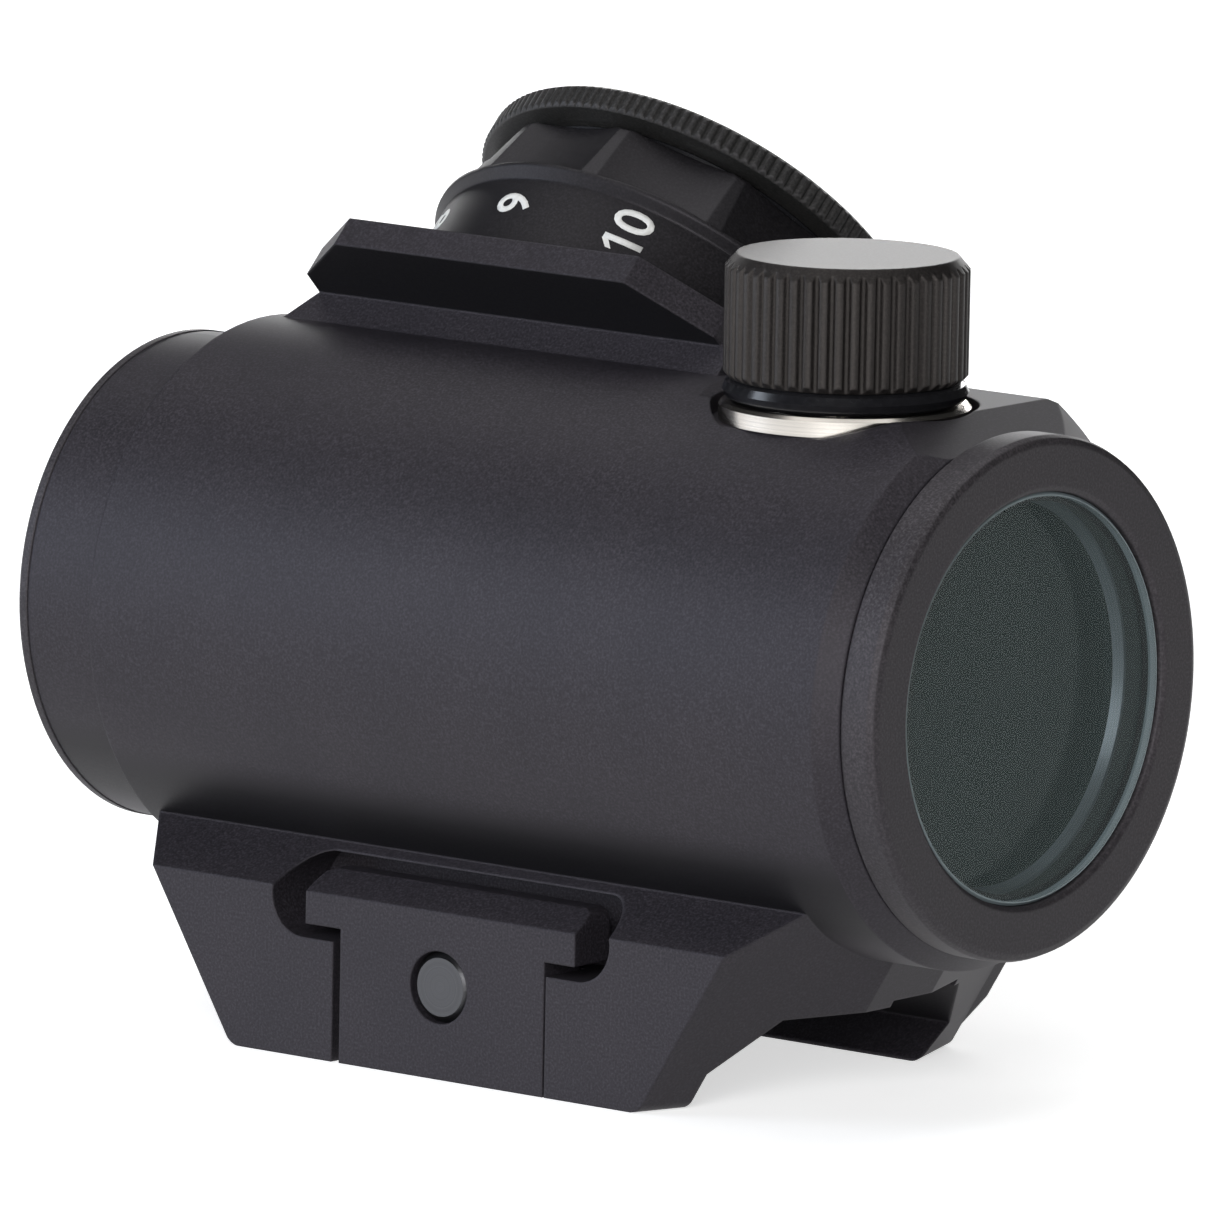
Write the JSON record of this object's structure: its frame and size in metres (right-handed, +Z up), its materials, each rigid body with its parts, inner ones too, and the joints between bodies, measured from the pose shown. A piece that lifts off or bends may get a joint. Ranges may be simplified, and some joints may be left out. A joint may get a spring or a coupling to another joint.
{
  "type": "red dot sight",
  "caption": "Compact tube red dot sight and finder with capped windage and elevation turrets, a tilted brightness dial over its battery, and an integral rail clamp base.",
  "frame": {"origin": "middle of the rail seat, the roof of the rail channel, under the middle of the tube's length", "axes": "+X along the tube's axis towards the objective end, +Z up from the rail seat, +Y towards the clamp bolt's head and the windage turret"},
  "size_m": [0.062, 0.0446, 0.0525],
  "materials": {
    "housing_black": "matte bead-blasted black anodised",
    "ring_black": "matte black anodised",
    "cap_black": "satin black anodised, knurled",
    "dial_black": "matte black anodised with pale numbers",
    "tube_black": "matte black anodised",
    "seal_rubber": "glossy moulded rubber",
    "turret_nickel": "nickel-plated turned brass",
    "bolt_steel": "blackened steel with bright end",
    "spring_steel": "bare spring steel",
    "coated_glass": "teal reflective coating",
    "battery_steel": "bright stamped can",
    "board_green": "solder mask",
    "contact_brass": "bare brass",
    "emitter_red": "clear red epoxy",
    "ring_polymer": "moulded acetal"
  },
  "bodies": {
    "housing": {"main_body": "housing_black", "objective_bezel": "ring_black", "ocular_bezel": "ring_black", "ocular_lens": "coated_glass", "ocular_seal": "seal_rubber", "objective_lens_front": "coated_glass", "return_spring": "spring_steel", "elevation_base": "turret_nickel", "windage_base": "turret_nickel", "dial_retaining_ring": "ring_polymer", "control_board": "board_green", "detent_ball": "spring_steel"},
    "pivot": {"pivot_ring": "ring_polymer"},
    "optic_tube": {"inner_tube": "tube_black", "objective_lens_rear": "coated_glass", "lens_retainer": "ring_black", "emitter_mount": "ring_polymer", "emitter_led": "emitter_red"},
    "elevation_screw": {"elevation_adjuster": "contact_brass"},
    "elevation_pin": {"elevation_plunger": "spring_steel"},
    "elevation_seal": {"elevation_cap_seal": "seal_rubber"},
    "elevation_cover": {"elevation_cap": "cap_black"},
    "windage_screw": {"windage_adjuster": "contact_brass"},
    "windage_pin": {"windage_plunger": "spring_steel"},
    "windage_seal": {"windage_cap_seal": "seal_rubber"},
    "windage_cover": {"windage_cap": "cap_black"},
    "dial": {"brightness_dial": "dial_black", "dial_contact": "contact_brass", "battery": "battery_steel", "battery_contact": "spring_steel"},
    "battery_seal": {"battery_cap_seal": "seal_rubber"},
    "battery_cover": {"battery_cap": "dial_black"},
    "clamp_jaw": {"clamp_plate": "housing_black"},
    "cross_bolt": {"clamp_bolt": "bolt_steel"}
  },
  "joints": [
    {"name": "tube_yaw", "type": "hinge", "parent": "housing", "child": "pivot", "pos_m": [-0.02, 0, 0.0183], "axis": [0, 0, 1], "range_deg": [-0.51, 0.51]},
    {"name": "tube_pitch", "type": "hinge", "parent": "pivot", "child": "optic_tube", "pos_m": [-0.02, 0, 0.0183], "axis": [0, 1, 0], "range_deg": [-0.51, 0.51]},
    {"name": "elevation_turn", "type": "hinge", "parent": "housing", "child": "elevation_screw", "pos_m": [0.0172, 0, 0.0183], "axis": [0, 0, 1], "range_deg": [-240, 240]},
    {"name": "elevation_push", "type": "slide", "parent": "housing", "child": "elevation_pin", "axis": [0, 0, 1], "range_m": [-0.00035, 0.00035]},
    {"name": "windage_turn", "type": "hinge", "parent": "housing", "child": "windage_screw", "pos_m": [0.0172, 0, 0.0183], "axis": [0, 1, 0], "range_deg": [-240, 240]},
    {"name": "windage_push", "type": "slide", "parent": "housing", "child": "windage_pin", "axis": [0, 1, 0], "range_m": [-0.00035, 0.00035]},
    {"name": "elevation_cap_lift", "type": "slide", "parent": "housing", "child": "elevation_seal", "axis": [0, 0, 1], "range_m": [0, 0.003]},
    {"name": "elevation_cap_turn", "type": "hinge", "parent": "elevation_seal", "child": "elevation_cover", "pos_m": [0.0172, 0, 0.0183], "axis": [0, 0, 1], "range_deg": [0, 1440.5]},
    {"name": "windage_cap_lift", "type": "slide", "parent": "housing", "child": "windage_seal", "axis": [0, 1, 0], "range_m": [0, 0.003]},
    {"name": "windage_cap_turn", "type": "hinge", "parent": "windage_seal", "child": "windage_cover", "pos_m": [0.0172, 0, 0.0183], "axis": [0, 1, 0], "range_deg": [0, 1440.5]},
    {"name": "brightness_turn", "type": "hinge", "parent": "housing", "child": "dial", "pos_m": [-0.0085, 0, 0.0183], "axis": [0, 0.7071, 0.7071], "range_deg": [0, 327.27]},
    {"name": "battery_cap_lift", "type": "slide", "parent": "dial", "child": "battery_seal", "axis": [0, 0.7071, 0.7071], "range_m": [0, 0.002]},
    {"name": "battery_cap_turn", "type": "hinge", "parent": "battery_seal", "child": "battery_cover", "pos_m": [-0.0085, 0, 0.0183], "axis": [0, 0.7071, 0.7071], "range_deg": [0, 720.5]},
    {"name": "clamp_bolt_turn", "type": "hinge", "parent": "housing", "child": "cross_bolt", "pos_m": [0.00035, 0, 0.0001], "axis": [0, 1, 0], "range_deg": [0, 1080.5]},
    {"name": "clamp_slide", "type": "slide", "parent": "housing", "child": "clamp_jaw", "axis": [0, -1, 0], "range_m": [0, 0.0021]}
  ],
  "couplings": [
    {"joint": "elevation_turn", "follows": "tube_pitch", "ratio": -467.47},
    {"joint": "elevation_push", "follows": "tube_pitch", "m_per_rad": -0.0372},
    {"joint": "windage_turn", "follows": "tube_yaw", "ratio": 467.47},
    {"joint": "windage_push", "follows": "tube_yaw", "m_per_rad": 0.0372},
    {"joint": "elevation_cap_turn", "follows": "elevation_cap_lift", "rad_per_m": 8377.6},
    {"joint": "windage_cap_turn", "follows": "windage_cap_lift", "rad_per_m": 8377.6},
    {"joint": "battery_cap_turn", "follows": "battery_cap_lift", "rad_per_m": 6283.2},
    {"joint": "clamp_bolt_turn", "follows": "clamp_slide", "rad_per_m": 8976}
  ]
}
